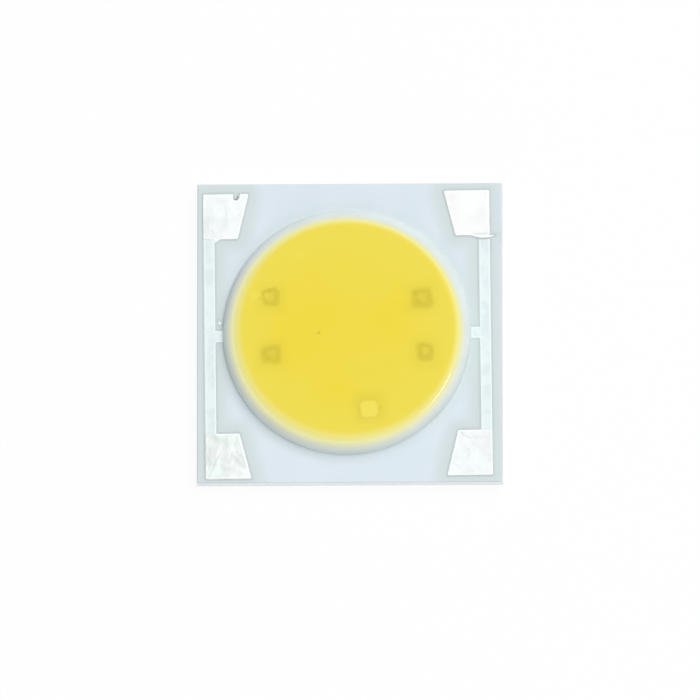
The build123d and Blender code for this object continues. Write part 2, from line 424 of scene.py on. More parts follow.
# %% Group: a square with soft edges, for what shows through the gel
square_group, given, result = new_group(
    "Soft square", {"Centre": "Vector", "Half": "Float", "Soft": "Float"}, {"Mask": "Float"}
)
place = placed(square_group, place_group)
offset = add_node(square_group, "VectorMath", {0: place, 1: given["Centre"]}, operation="SUBTRACT").outputs[0]
reach = add_node(square_group, "VectorMath", {0: offset}, operation="ABSOLUTE").outputs[0]
axes = add_node(square_group, "SeparateXYZ", {0: reach}).outputs
CORNER_POWER, WOBBLE = 4.0, 0.12
powers = [calculate(square_group, "POWER", axes[axis], CORNER_POWER) for axis in "XY"]
size = calculate(square_group, "POWER", calculate(square_group, "ADD", *powers), 1 / CORNER_POWER)
wobble = clouds(square_group, 0.8, 1, 0.2, 0.8)
uneven = calculate(square_group, "MULTIPLY", calculate(square_group, "SUBTRACT", wobble, 0.5), WOBBLE)
size = calculate(square_group, "ADD", size, uneven)
far = calculate(square_group, "ADD", given["Half"], given["Soft"])
near = calculate(square_group, "SUBTRACT", given["Half"], given["Soft"])
square_group.links.new(ramp(square_group, size, far, near), result["Mask"])


def square_mask(tree, centre, half, soft):
    """Mask of a soft square at a place on the print."""
    return placed(tree, square_group, {"Centre": (*centre, 0), "Half": half, "Soft": soft})


# %% Relief that is finer than the mesh
def roughen(tree, height, depth):
    """Bumps the surface by a height mask, as deep as depth in millimetres."""
    bump = add_node(tree, "Bump", {"Height": height, "Strength": 1.0, "Distance": depth * MM})
    tree.links.new(bump.outputs["Normal"], tree.nodes["Principled BSDF"].inputs["Normal"])


# %% [markdown]
# ## Ceramic plate
#
# The plate is alumina, cut half through by a row of laser pulses and then snapped out of its panel. So the upper part
# of each side is a row of small scallops and the lower part is a rough break. A bump could fake that from above, but
# not in the outline, so the sides are a real mesh. Next to the print and round the dam the white ceramic is painted
# greyer, as painted shade at their foot, and the sides are painted lighter than the top, as painted light. The
# plate's top stores how far it is from the nearest print, and the finish uses that.

# %% Finish: alumina
CERAMIC_WHITE = (0.748, 0.830, 0.895, 1)
CERAMIC_COOL = (0.725, 0.812, 0.872, 1)
SIDE_PAINTED_LIGHT = (0.915, 0.955, 0.985, 1)
SHADE_AND_GRAIN_GREY = (0.634, 0.716, 0.712, 1)
FOOT_SHADE_GREY = (0.500, 0.570, 0.570, 1)
NICK_SHADOW_DARK = (0.180, 0.180, 0.170, 1)
# Each band of painted shade has the distances at which it starts and is full, and its share.
PRINT_PAINTED_SHADE = (0.95, 0.05, 0.85)
PRINT_FOOT_SHADE = (0.13, 0.03, 0.60)
DAM_PAINTED_SHADE = (6.3, 5.75, 0.42)


def stored(tree, name):
    """A value stored on the mesh."""
    return add_node(tree, "Attribute", attribute_name=name).outputs["Fac"]


def make_alumina():
    material, tree = new_finish("alumina")
    colour = mix_colours(tree, clouds(tree, 2.2, 2, 0.35, 0.65), CERAMIC_WHITE, CERAMIC_COOL)
    near_print = stored(tree, "print_distance")
    # Painted shade round every print: a wide greyer band and a darker line at the print's foot.
    for (start, full, share), tint in ((PRINT_PAINTED_SHADE, SHADE_AND_GRAIN_GREY), (PRINT_FOOT_SHADE, FOOT_SHADE_GREY)):
        colour = mix_colours(tree, ramp(tree, near_print, start, full), colour, tint, share)
    # Painted shade: a greyer ring on the ceramic round the dam's foot.
    start, full, share = DAM_PAINTED_SHADE
    colour = mix_colours(tree, ring_mask(tree, start, full), colour, SHADE_AND_GRAIN_GREY, share)
    # Painted shadow at the bottom of the upper left pad's nick.
    colour = mix_colours(tree, stored(tree, "pit"), colour, NICK_SHADOW_DARK)
    # Painted light: the plate's sides get a lighter colour than its top.
    colour = mix_colours(tree, stored(tree, "snapped"), colour, SIDE_PAINTED_LIGHT)
    grain = clouds(tree, 0.05, 3, 0.35, 0.75)
    colour = mix_colours(tree, grain, colour, SHADE_AND_GRAIN_GREY, share=0.05)
    dress(tree, colour, ramp(tree, grain, 0, 1, 0.50, 0.66))
    roughen(tree, clouds(tree, 0.02, 4, 0.3, 0.7), 0.0012)
    return material


alumina = make_alumina()

# %% The plate's top outline and its halo points
SCRIBE_PITCH = 0.12
SCRIBE_DEPTH = 0.014
BREAK_DEPTH = 0.016
EDGE_BREAK = 0.008
EDGE_STEP = SCRIBE_PITCH / 4


def rectangle(low, high, z):
    """Four corners at one height, counterclockwise."""
    return [(low.x, low.y, z), (high.x, low.y, z), (high.x, high.y, z), (low.x, high.y, z)]


plate_ring = resample(to_print(rectangle(plate_low, plate_high, plate_top))[:, :2], EDGE_STEP)
plate_inward = inward(plate_ring)
plate_height = (plate_top - plate_low.z) / MM
print_nodes = ["left_conductor", "right_conductor", "index_mark"]
print_nodes += [f"solder_pad_{end}_{side}" for end in ("upper", "lower") for side in ("left", "right")]
print_outlines = {node: footprint(node) for node in print_nodes}
WAYS = {"left": -1, "right": 1, "lower": -1, "upper": 1}
print("plate outline:", len(plate_ring), "points round", len(print_outlines), "prints")


def on_pad(node, spot):
    """A place on the print, from millimetres in from a pad's outer side and outer end."""
    end, side = node.split("_")[-2:]
    outer_side = WAYS[side] * np.abs(conductor_outlines[side][:, 0]).max()
    outer_end = WAYS[end] * np.abs(print_outlines[node][:, 1]).max()
    return np.array([outer_side - WAYS[side] * spot[0], outer_end - WAYS[end] * spot[1]])


# The painted shadow at the bottom of the upper left pad's nick runs along these spots.
NICK_SHADOW_SPOTS = ((1.62, 0.10), (1.53, 0.29), (1.42, 0.25))
NICK_SHADOW_LINE = [on_pad("solder_pad_upper_left", spot) for spot in NICK_SHADOW_SPOTS]
NICK_SHADOW_SHARE, NICK_SHADOW_WIDTH, NICK_SHADOW_SPACING = 0.85, 0.035, 0.025
HALO_STEPS, HALO_SPACING = (0.0, 0.03, 0.06, 0.10, 0.16, 0.25, 0.42), 0.07
WIDE_START, WIDE_SPACING, RIM_SPACING = 0.5, 0.30, 0.08


def print_distance(points):
    """Distance from each point to the nearest print, or 0 on a print."""
    rings = print_outlines.values()
    return np.min([np.where(inside(points, ring), 0.0, distance_to(points, ring)) for ring in rings], axis=0)


def halo_points():
    """Points round every print, closer together near it."""
    fine_rings = [resample(ring, HALO_SPACING) for ring in print_outlines.values()]
    halo = [ring - inward(ring) * away for ring in fine_rings for away in HALO_STEPS]
    wide = grid_over(plate_ring, WIDE_SPACING)
    wide = wide[print_distance(wide) > WIDE_START]
    rims = [plate_ring[::step] + plate_inward[::step] * RIM_SPACING * step for step in (1, 2, 4)]
    around_nick_shadow = grid_over(np.array(NICK_SHADOW_LINE) + [[-0.1], [0.0], [0.1]], NICK_SHADOW_SPACING)
    return np.vstack([*halo, wide, *rims, around_nick_shadow])


def nick_shadow_mask(points):
    """How dark the painted shadow at the bottom of the nick is at each point."""
    lines = zip(NICK_SHADOW_LINE[:-1], NICK_SHADOW_LINE[1:])
    nearest = np.min([distance_to_line(points, start, end) for start, end in lines], axis=0)
    return NICK_SHADOW_SHARE * falloff(nearest, NICK_SHADOW_WIDTH)


# %% The plate's snapped sides
SCRIBE_START, SCRIBE_BLEND = 0.50, 0.12
SIDE_LEVELS = (0.0, 0.10, 0.24, 0.38, 0.50, 0.62, 0.80, 0.95, 1.0)


def side_inset(distance_along, height):
    """How far the snapped side stands back, at a place along the edge and a share of the height."""
    scallop = SCRIBE_DEPTH * np.abs(np.cos(math.pi * distance_along / SCRIBE_PITCH)) ** 0.7
    break_line = ripple(at_height(distance_along, 9 * height), 0.35, 3.0)
    broken = BREAK_DEPTH * (0.5 + 0.5 * break_line)
    scribed = np.clip((height - SCRIBE_START) / SCRIBE_BLEND, 0, 1)
    return scribed * scallop + (1 - scribed) * broken


def make_sides():
    """Points and faces of the sides, and their lowest and highest rings."""
    steps = np.linalg.norm(np.roll(plate_ring, -1, axis=0) - plate_ring, axis=1)
    along = np.concatenate([[0], np.cumsum(steps)[:-1]])
    rings = []
    for height in SIDE_LEVELS:
        inset = side_inset(along, height) + (EDGE_BREAK if height == 1.0 else 0.0)
        rings.append(at_height(plate_ring + plate_inward * inset[:, None], (height - 1) * plate_height))
    count = len(plate_ring)
    faces = []
    for row in range(0, count * (len(rings) - 1), count):
        above = row + count
        faces += [[row + here, row + after, above + after, above + here] for here, after in round_pairs(count)]
    return np.vstack(rings), faces, rings[0][:, :2], rings[-1][:, :2]


side_points, plate_faces, foot_ring, top_ring = make_sides()
top_spots, top_triangles = fill(top_ring, well_inside(halo_points(), top_ring, EDGE_STEP))
foot_spots, foot_triangles = fill(foot_ring, np.empty((0, 2)))
print("plate: faces round the sides", len(plate_faces), "and on top", len(top_triangles))

# %% Join the plate's top, sides and underside
plate_points = np.vstack([side_points, at_height(top_spots, 0.0), at_height(foot_spots, -plate_height)])
top_start, foot_start = len(side_points), len(side_points) + len(top_spots)
plate_faces += [[corner + top_start for corner in face] for face in top_triangles]
plate_faces += [[corner + foot_start for corner in reversed(face)] for face in foot_triangles]
plate_fields = {
    "print_distance": print_distance(plate_points[:, :2]),
    # A painted shadow at the bottom of the nick.
    "pit": nick_shadow_mask(plate_points[:, :2]),
    # Painted light: the points of the sides are marked, so that they get a lighter colour.
    "snapped": (plate_points[:, 2] < -0.01 * plate_height).astype(float),
}
plate = make_piece("plate_snapped", plate_points, plate_faces, alumina, "ceramic_plate", plate_fields)

# %% Weld the plate's edges
bpy.context.view_layer.objects.active = plate
weld = plate.modifiers.new("weld", "WELD")
weld.merge_threshold = 1e-8
with bpy.context.temp_override(object=plate, active_object=plate):
    bpy.ops.object.modifier_apply(modifier="weld")
print("plate corners after the weld:", len(plate.data.vertices))

# %% [markdown]
# ## Printed silver
#
# The conductors are silver paste pushed through a screen and fired. The paste leaves a slightly raised rim where the
# stencil ended, a duller middle, and edges that waver a little. The rim's lighter colour is a painted highlight. Each
# film is a closed sheet over its own outline, with its height worked out from the distance to the edge.

# %% Finish: printed silver
SILVER_PALE = (0.805, 0.896, 0.908, 1)
SILVER_DULL = (0.742, 0.838, 0.850, 1)
SILVER_RIM_HIGHLIGHT = (0.860, 0.935, 0.940, 1)
SILVER_BRIGHT = (0.950, 0.985, 0.990, 1)
LIP_SHADE = (0.330, 0.340, 0.320, 1)


def make_silver():
    material, tree = new_finish("printed_silver")
    colour = mix_colours(tree, clouds(tree, 0.55, 2, 0.40, 0.66), SILVER_PALE, SILVER_DULL)
    # Painted highlight: a lighter colour along the film's rim.
    rim = ramp(tree, stored(tree, "edge_distance"), 0.12, 0.04)
    colour = mix_colours(tree, rim, colour, SILVER_RIM_HIGHLIGHT, share=0.8)
    colour = mix_colours(tree, stored(tree, "bright"), colour, SILVER_BRIGHT)
    colour = mix_colours(tree, stored(tree, "under_lip"), colour, LIP_SHADE)
    grain = clouds(tree, 0.06, 2, 0.3, 0.7)
    dress(tree, colour, ramp(tree, grain, 0, 1, 0.40, 0.52), metallic=0.15)
    roughen(tree, grain, 0.0008)
    return material


silver = make_silver()


# %% Lay a film over its outline
FILM_INSETS, WAVER_SIZE = (0.006, 0.014, 0.030, 0.055, 0.085), 0.25
FILM_LEVEL, FILM_RIM, FILM_RIPPLE, FILM_EDGE = 0.74, 0.18, 0.06, 0.35
LIP_DARKNESS, LIP_WIDTH = 0.90, 0.06


def rounded_edge(depth, radius):
    """Rises from 0 to 1 as a quarter circle, within radius of the edge."""
    return np.sqrt(1 - (1 - np.clip(depth / radius, 0, 1)) ** 2)


def film_spots(outline, step, spacing, waver, layer):
    """Points and triangles over a film with a wavering edge, and each point's distance from that edge."""
    ring = resample(outline, step)
    ring = ring + inward(ring) * (waver * ripple(ring, WAVER_SIZE, layer))[:, None]
    rings = [well_inside(ring + inward(ring) * inset, ring, 0.9 * inset) for inset in FILM_INSETS]
    grid = well_inside(grid_over(ring, spacing), ring, FILM_INSETS[-1] + spacing / 2)
    spots, triangles = fill(ring, np.vstack([*rings, grid]))
    return spots, triangles, distance_to(spots, ring)


def film_height(node):
    """A solid's height over the plate, in millimetres."""
    return node_points(node)[:, 2].max()


def lip_shade(spots):
    """Shade on the bus under the edge of the upper right pad's lip."""
    away = distance_to(spots, print_outlines["solder_pad_upper_right"])
    return LIP_DARKNESS * falloff(away, LIP_WIDTH)


def make_film(node, spacing, layer, rounding, brightness):
    height = film_height(node)
    spots, triangles, depth = film_spots(print_outlines[node], 0.03, spacing, 0.006, layer)
    level = FILM_LEVEL + FILM_RIM * falloff(depth - 0.05, 0.035) + FILM_RIPPLE * ripple(spots, 0.16, layer + 0.5)
    top = height * np.clip(level, 0, 1) * (FILM_EDGE + (1 - FILM_EDGE) * rounded_edge(depth, rounding))
    points, faces = closed_sheet(spots, triangles, 0.0, top)
    fields = {"edge_distance": np.tile(depth, 2), "under_lip": np.tile(lip_shade(spots), 2)}
    fields["bright"] = np.full(len(points), brightness)
    return make_piece(f"{node}_print", points, faces, silver, node, fields)


make_film("left_conductor", spacing=0.05, layer=0, rounding=0.03, brightness=0.0)
make_film("right_conductor", spacing=0.05, layer=1, rounding=0.03, brightness=0.0)
make_film("index_mark", spacing=0.03, layer=2, rounding=0.010, brightness=1.0)

# %% [markdown]
# ## Solder pads
#
# The four pads are thick tinned metal, and each has had its own knocks: a bite out of one end, a lip of solder that
# ran over the bus, a long scratch, small dents. The bites and the lip are in the solids, so the outlines bring them.
# The crinkles, grooves and dents are worked out as heights, so that light catches them as on real metal, and the
# marks also carry a grey smudge. On the upper right pad the grey of the fold above the lip and of two smudge marks
# on the lip is painted shade. A lighter colour along each pad's rim is a painted highlight. Where a pad lies on its
# bus it is a little greyer and has less of that painted highlight on its rim, so that the two merge. Each pad has its
# own values in one small table.

# %% The knocks of each pad, in millimetres in from its outer side and its outer end
# A groove has two ends, a width, a depth and a greyness. A smudge has a place, a radius and a greyness. Merge is how
# grey the pad is where it lies on its bus.
PAD_WEAR = {
    "solder_pad_upper_left": {
        "crinkle": 0.0085, "rim": 0.002, "clouding": 0.16, "merge": 0.30,
        "tone": (0.918, 0.962, 0.960, 1), "tint": (0.902, 0.938, 0.938, 1),
        "grooves": [((0.36, 1.66), (0.60, 2.12), 0.03, 0.005, 0.4), ((1.03, 0.62), (1.08, 1.45), 0.06, 0.002, 0.30)],
        "smudges_and_shade": [
            (1.08, 0.92, 0.10, 0.3), (1.06, 1.42, 0.11, 0.3), (1.68, 1.02, 0.04, 0.7),
            (0.26, 1.62, 0.09, 0.3), (0.20, 0.98, 0.05, 0.3), (0.42, 0.76, 0.04, 0.3),
            (0.62, 1.50, 0.05, 0.3), (0.80, 1.80, 0.05, 0.3), (1.52, 1.20, 0.04, 0.3),
        ],
    },
    "solder_pad_upper_right": {
        "crinkle": 0.0015, "rim": 0.001, "clouding": 0.06, "merge": 0.0,
        "tone": (0.945, 0.965, 0.960, 1), "tint": (0.930, 0.930, 0.930, 1),
        # The grey of this groove, the fold above the lip, and of the last two smudge marks, on the lip, is painted
        # shade.
        "grooves": [((0.85, 2.08), (0.02, 2.05), 0.05, 0.010, 0.65)],
        "smudges_and_shade": [(0.35, 1.30, 0.35, 0.12), (0.62, 2.14, 0.08, 0.70), (0.20, 2.19, 0.07, 0.60)],
    },
    "solder_pad_lower_left": {
        "crinkle": 0.0240, "rim": 0.006, "clouding": 0.30, "merge": 0.45,
        "tone": (0.850, 0.945, 0.905, 1), "tint": (0.882, 0.916, 0.915, 1),
        "grooves": [
            ((0.16, 0.14), (0.64, 1.19), 0.035, 0.010, 0.6),
            ((1.15, 0.87), (1.22, 1.28), 0.04, 0.008, 0.5),
            ((1.40, 1.25), (1.62, 1.05), 0.04, 0.008, 0.5),
        ],
        "smudges_and_shade": [
            (1.00, 1.65, 0.20, 0.3), (1.45, 1.70, 0.14, 0.25),
            (1.60, 1.10, 0.05, 0.6), (1.15, 0.50, 0.22, 0.3),
        ],
    },
    "solder_pad_lower_right": {
        "crinkle": 0.0080, "rim": 0.003, "clouding": 0.14, "merge": 0.25,
        "tone": (0.890, 0.950, 0.945, 1), "tint": (0.902, 0.932, 0.936, 1),
        "grooves": [
            ((1.53, 2.10), (1.35, 1.90), 0.04, 0.012, 0.6),
            ((1.35, 1.90), (1.05, 1.72), 0.06, 0.008, 0.4),
            ((0.85, 1.78), (0.25, 1.76), 0.06, 0.006, 0.3),
        ],
        "smudges_and_shade": [
            (1.08, 1.22, 0.05, 0.4), (1.08, 0.90, 0.06, 0.4),
            (0.82, 1.14, 0.05, 0.4), (0.20, 0.88, 0.05, 0.3),
        ],
    },
}


# %% Finish: tinned metal
SMUDGE_GREY = (0.520, 0.570, 0.560, 1)
TIN_RIM_HIGHLIGHT = (0.970, 0.985, 0.985, 1)


def make_tin(name, wear):
    material, tree = new_finish(name)
    colour = mix_colours(tree, clouds(tree, 1.1, 1, 0.40, 0.62), wear["tone"], wear["tint"])
    colour = mix_colours(tree, clouds(tree, 0.7, 1, 0.42, 0.72), colour, SMUDGE_GREY, wear["clouding"])
    # The marks' grey is wear, and round the upper right pad's lip painted shade.
    colour = mix_colours(tree, stored(tree, "mark"), colour, SMUDGE_GREY, share=0.6)
    # Painted highlight: a lighter colour along the pad's rim.
    rim = ramp(tree, stored(tree, "edge_distance"), 0.13, 0.05)
    colour = mix_colours(tree, rim, colour, TIN_RIM_HIGHLIGHT, share=0.85)
    dress(tree, colour, ramp(tree, clouds(tree, 0.3, 1, 0.3, 0.7), 0, 1, 0.28, 0.38), metallic=0.35)
    return material


# %% Work out each pad's crinkled top
def crinkles(spots, layer):
    """Creased foil: sharp ridges where smooth hills change sign."""
    broad = 1 - 2.5 * np.abs(ripple(spots, 0.60, layer))
    fine = 1 - 2.5 * np.abs(ripple(spots, 0.28, layer + 0.5))
    return 0.7 * broad + 0.3 * fine - 0.5


def wear_marks(spots, node, wear):
    """Depth and greyness of a pad's grooves, greyness of each smudge; by the lip the grey is painted shade."""
    depth, grey = np.zeros((2, len(spots)))
    for start, end, width, groove_depth, greyness in wear["grooves"]:
        away = distance_to_line(spots, on_pad(node, start), on_pad(node, end))
        depth += groove_depth * falloff(away, width)
        grey = np.maximum(grey, greyness * falloff(away, width))
    for across, along, radius, greyness in wear["smudges_and_shade"]:
        x, y = on_pad(node, (across, along))
        away = np.hypot(spots[:, 0] - x, spots[:, 1] - y)
        grey = np.maximum(grey, greyness * falloff(away, radius))
    return depth, grey


def bus_level(spots):
    """Height of the printed silver under each point."""
    level = np.zeros(len(spots))
    for side, ring in conductor_outlines.items():
        level[inside(spots, ring)] = film_height(f"{side}_conductor")
    return level


PAD_LEVEL, PAD_LEAST, PAD_EDGE = 0.78, 0.006, 0.25
MERGE_REACH, RIM_FREE = 0.35, 0.10


def make_pad(node, wear, layer):
    height = film_height(node)
    spots, triangles, depth = film_spots(print_outlines[node], 0.025, 0.03, 0.005, layer)
    base = bus_level(spots)
    marks, grey = wear_marks(spots, node, wear)
    rim = wear["rim"] * falloff(depth - 0.06, 0.04)
    level = PAD_LEVEL * height + rim + wear["crinkle"] * crinkles(spots, layer) - marks
    level = np.clip(level, base + PAD_LEAST, height)
    top = base + (level - base) * (PAD_EDGE + (1 - PAD_EDGE) * rounded_edge(depth, 0.04))
    points, faces = closed_sheet(spots, triangles, base, top)
    merging = (base > 0) & (wear["merge"] > 0)
    grey = np.maximum(grey, wear["merge"] * merging * falloff(depth, MERGE_REACH))
    # On the bus the rim's painted highlight is kept weak.
    edge_distance = np.where(merging, np.maximum(depth, RIM_FREE), depth)
    fields = {"edge_distance": np.tile(edge_distance, 2), "mark": np.tile(grey, 2)}
    print(node, "merges into its bus at", merging.sum(), "of", len(spots), "points")
    tin = make_tin(node.replace("solder_pad", "tin"), wear)
    return make_piece(f"{node}_tin", points, faces, tin, node, fields)


for layer, (node, wear) in enumerate(PAD_WEAR.items(), start=10):
    make_pad(node, wear, layer)

# %% [markdown]
# ## Silicone dam
#
# The dam is a bead of white silicone that a needle laid in a ring before the gel was poured. One section turned about
# the axis would be perfect, and would look it. So every step of the turn has its own small change of width, and there
# is a lap where the bead's end meets its start. The solid gives the bead's inner and outer radius and its height. The
# solid's section has straight flanks, and the scene's is a half-round arch, which is steepest at its foot, as soft
# silicone sets on a plate.

# %% Finish: white silicone
SILICONE_WHITE = (0.705, 0.776, 0.760, 1)
SILICONE_SHADE = (0.676, 0.746, 0.726, 1)
GEL_LEMON = (0.860, 0.716, 0.069, 1)
GEL_CREAM = (0.878, 0.834, 0.320, 1)


def make_silicone():
    material, tree = new_finish("white_silicone")
    colour = mix_colours(tree, clouds(tree, 1.2, 2, 0.35, 0.65), SILICONE_WHITE, SILICONE_SHADE)
    colour = fade_out(tree, GEL_LEMON, colour)
    grain = clouds(tree, 0.06, 3, 0.3, 0.7)
    dress(tree, colour, ramp(tree, grain, 0, 1, 0.34, 0.46))
    roughen(tree, grain, 0.0008)
    return material


silicone = make_silicone()

# %% Read the bead's size from the solid and draw its section
SECTION_STEPS = 36
FOOT_TUCK = 0.035
dam_points = node_points("silicone_dam")
dam_radii = np.hypot(dam_points[:, 0], dam_points[:, 1])
dam_inner, dam_outer, dam_height = dam_radii.min(), dam_radii.max(), dam_points[:, 2].max()
dam_crest = (dam_inner + dam_outer) / 2
sweep = np.linspace(math.pi, 0, 1000)
reach = np.where(np.cos(sweep) < 0, dam_crest - dam_inner, dam_outer - FOOT_TUCK - dam_crest)
section = np.column_stack([dam_crest + reach * np.cos(sweep), dam_height * np.sin(sweep)])
section[[0, -1], 1] = 0
lengths = np.concatenate([[0], np.cumsum(np.linalg.norm(np.diff(section, axis=0), axis=1))])
even = np.linspace(0, lengths[-1], SECTION_STEPS + 1)
section = np.column_stack([np.interp(even, lengths, axis) for axis in section.T])
print("bead from", round(dam_inner, 2), "to", round(dam_outer, 2), "mm, high", round(dam_height, 2))

# %% Turn the section about the axis
TURN_STEPS = 720
LAP_ANGLE, LAP_RUN, LAP_WIDTH = math.radians(44), 0.12, 0.03
WIDTH_CHANGE = 0.012
turn_angles = np.arange(TURN_STEPS) * 2 * math.pi / TURN_STEPS
circle = np.column_stack([np.cos(turn_angles), np.sin(turn_angles)])


def lap_step(angles):
    """A small overlap where the bead's end lies on its start."""
    away = (angles - LAP_ANGLE + math.pi) % (2 * math.pi) - math.pi
    return np.where(away > 0, np.exp(-away / LAP_RUN), 0)


def turned_surface(radii, heights, close):
    """Points and faces of rings, each with its own radius and height at every step of the turn."""
    rings = [at_height(circle * r[:, None], z) for r, z in zip(radii, heights)]
    faces = []
    for row, other in round_pairs(len(rings))[: None if close else -1]:
        row, other = row * TURN_STEPS, other * TURN_STEPS
        faces += [[row + here, other + here, other + after, row + after] for here, after in round_pairs(TURN_STEPS)]
    return np.vstack(rings), faces


def make_dam():
    change = WIDTH_CHANGE * ripple(circle, 0.5, 20.0) + LAP_WIDTH * lap_step(turn_angles)
    radii, heights = [], []
    for radius, height in section:
        outward = max(0.0, (radius - dam_crest) / (dam_outer - dam_crest))
        radii.append(radius + outward * change)
        on_film = height < film_height("left_conductor")
        heights.append(bus_level(circle * radii[-1][:, None]) if on_film else height)
    points, faces = turned_surface(radii, heights, close=True)
    return make_piece("dam_bead", points, faces, silicone, "silicone_dam")


make_dam()

# %% [markdown]
# ## Phosphor gel
#
# The gel is clear silicone full of yellow phosphor powder. It was poured until it stood a little above the dam, so it
# has a level top and a rounded shoulder that thins out on the crest. The real gel is slightly see-through, and the
# larger dies show as soft squares. True scattering would be slow and would be lost in the exported model, so the gel
# is opaque here and the soft squares are masks, placed from the dies' own boxes.

# %% Finish: yellow gel
GEL_YELLOW = (0.872, 0.696, 0.036, 1)
# The dark tint shows the dies through the gel and also paints the shade round them. The light tint is the regulator's
# face and also paints highlights.
DIE_AND_SHADE_DARK = (0.490, 0.375, 0.002, 1)
DIE_CENTRE = (0.815, 0.665, 0.062, 1)
DIE_FACE_AND_HIGHLIGHT = (0.960, 0.820, 0.120, 1)
SPECK_BROWN = (0.420, 0.280, 0.030, 1)
SPECK_PLACE, SPECK_RADIUS = (-1.28, -0.11), 0.075
SEEN_SHIFT = (0, -0.04)
WET_EDGE, WET_ROUGHNESS = (4.95, 5.10), 0.12
# A halo is painted shade round a die, wide and faint: its size beside the die's, its blur and its share.
DIE_SHADE_HALO, REGULATOR_SHADE_HALO = (1.40, 0.45, 0.17), (1.60, 0.45, 0.24)
BODY_SIZE, BODY_SHARE, CONTACT_BLUR = 1.02, 0.34, 0.07
# For each die: where it seems to lie, its size and blur, and where its contact shows, with its size and clearness.
DIE_LOOK = {
    "upper_left": ((0.01, 0.06), 0.95, 0.08, (-0.06, 0.04), 0.46, 0.72),
    "upper_right": ((-0.07, 0.00), 1.16, 0.14, (0.00, 0.03), 0.34, 0.45),
    "lower_left": ((0.00, 0.00), 1.02, 0.13, (0.04, 0.02), 0.38, 0.35),
    "lower_right": ((0.06, 0.01), 1.00, 0.11, (0.03, 0.06), 0.42, 0.55),
}
# Paler patches, which are painted highlights, and darker smears in the gel, mostly beside the dies: place, half size
# and tint.
SMEARS_AND_HIGHLIGHTS = [
    ((-4.18, 1.66), 0.20, 0.30), ((-2.18, 3.50), 0.16, 0.25), ((-3.69, 1.72), 0.04, 0.40),
    ((-3.69, 1.62), 0.04, 0.40), ((-3.53, 1.93), 0.05, -0.25), ((-3.29, 2.02), 0.03, -0.25),
    ((-3.83, 1.74), 0.03, -0.25), ((-3.96, 1.52), 0.07, -0.25), ((3.10, 1.67), 0.07, -0.20),
    ((3.29, 1.28), 0.06, -0.22), ((3.35, -1.19), 0.06, -0.20), ((3.89, -1.00), 0.05, -0.20),
    ((-3.84, -1.02), 0.06, -0.20), ((-3.57, -1.29), 0.09, -0.15),
]
# Dark spots beside the regulator die, from its middle.
REGULATOR_SPOTS = [(-0.51, -0.03), (0.51, 0.08)]


def die_place(node):
    """A die's middle, as seen through the gel, and half its side."""
    corners = node_points(node)
    low, high = corners.min(axis=0), corners.max(axis=0)
    return (low + high)[:2] / 2 + SEEN_SHIFT, (high - low)[0] / 2


def show_square(tree, colour, tint, centre, half, soft, share):
    """Tints a soft square of the gel."""
    return mix_colours(tree, square_mask(tree, centre, half, soft), colour, tint, share)


def make_gel():
    material, tree = new_finish("phosphor_gel")
    colour = mix_colours(tree, clouds(tree, 3.0, 2, 0.35, 0.65), GEL_YELLOW, GEL_LEMON, share=0.5)
    colour = mix_colours(tree, ring_mask(tree, 2.6, 4.6), colour, GEL_LEMON, share=0.85)
    for corner, (shift, size, blur, contact_shift, contact, clearness) in DIE_LOOK.items():
        centre, half = die_place(f"rectifier_die_{corner}")
        centre, half = centre + shift, size * half
        # Painted shade: a wide faint halo round each die.
        colour = show_square(tree, colour, DIE_AND_SHADE_DARK, centre, DIE_SHADE_HALO[0] * half, *DIE_SHADE_HALO[1:])
        colour = show_square(tree, colour, DIE_AND_SHADE_DARK, centre, BODY_SIZE * half, blur, BODY_SHARE)
        centre = centre + contact_shift
        colour = show_square(tree, colour, DIE_CENTRE, centre, contact * half, CONTACT_BLUR, clearness)
    centre, half = die_place("regulator_die")
    # Painted shade: a halo round the regulator die.
    colour = show_square(tree, colour, DIE_AND_SHADE_DARK, centre + (0, 0.05), REGULATOR_SHADE_HALO[0] * half, *REGULATOR_SHADE_HALO[1:])
    for spot in REGULATOR_SPOTS:
        colour = show_square(tree, colour, DIE_AND_SHADE_DARK, centre + spot, 0.05, 0.09, 0.22)
    colour = show_square(tree, colour, DIE_FACE_AND_HIGHLIGHT, centre, half, 0.06, 0.62)
    # Paler patches are painted highlights, and darker ones are smears.
    for spot, half, tint in SMEARS_AND_HIGHLIGHTS:
        smear_or_highlight = DIE_FACE_AND_HIGHLIGHT if tint > 0 else DIE_AND_SHADE_DARK
        colour = show_square(tree, colour, smear_or_highlight, spot, half, 0.6 * half + 0.05, abs(tint))
    colour = show_square(tree, colour, SPECK_BROWN, SPECK_PLACE, 0.05, 0.07, 0.6)
    colour = fade_out(tree, colour, SILICONE_WHITE)
    rough_top = ramp(tree, clouds(tree, 0.05, 3, 0.3, 0.7), 0, 1, 0.29, 0.33)
    roughness = add_node(tree, "Mix", {0: ring_mask(tree, *WET_EDGE), 2: rough_top, 3: WET_ROUGHNESS}).outputs[0]
    dress(tree, colour, roughness)
    return material


gel_finish = make_gel()

# %% The gel as a shell over the dies
SHELL, SHELL_GAP = 0.08, 0.02
SWELL, SPECK_DEPTH = 0.003, 0.012
FLAT_RINGS, SHOULDER_RINGS = 56, 24
gel_points = node_points("phosphor_gel")
gel_top = gel_points[:, 2].max()
gel_flat = np.hypot(*gel_points[gel_points[:, 2] > gel_top - 1e-3][:, :2].T).max()


def shoulder_drop(radius):
    """How far the shoulder has dropped at a radius: little at first, and steeply at the gel's edge."""
    share_of_run = np.clip((radius - gel_flat) / (dam_crest - gel_flat), 0, 1)
    return (gel_top - dam_height) * share_of_run**3


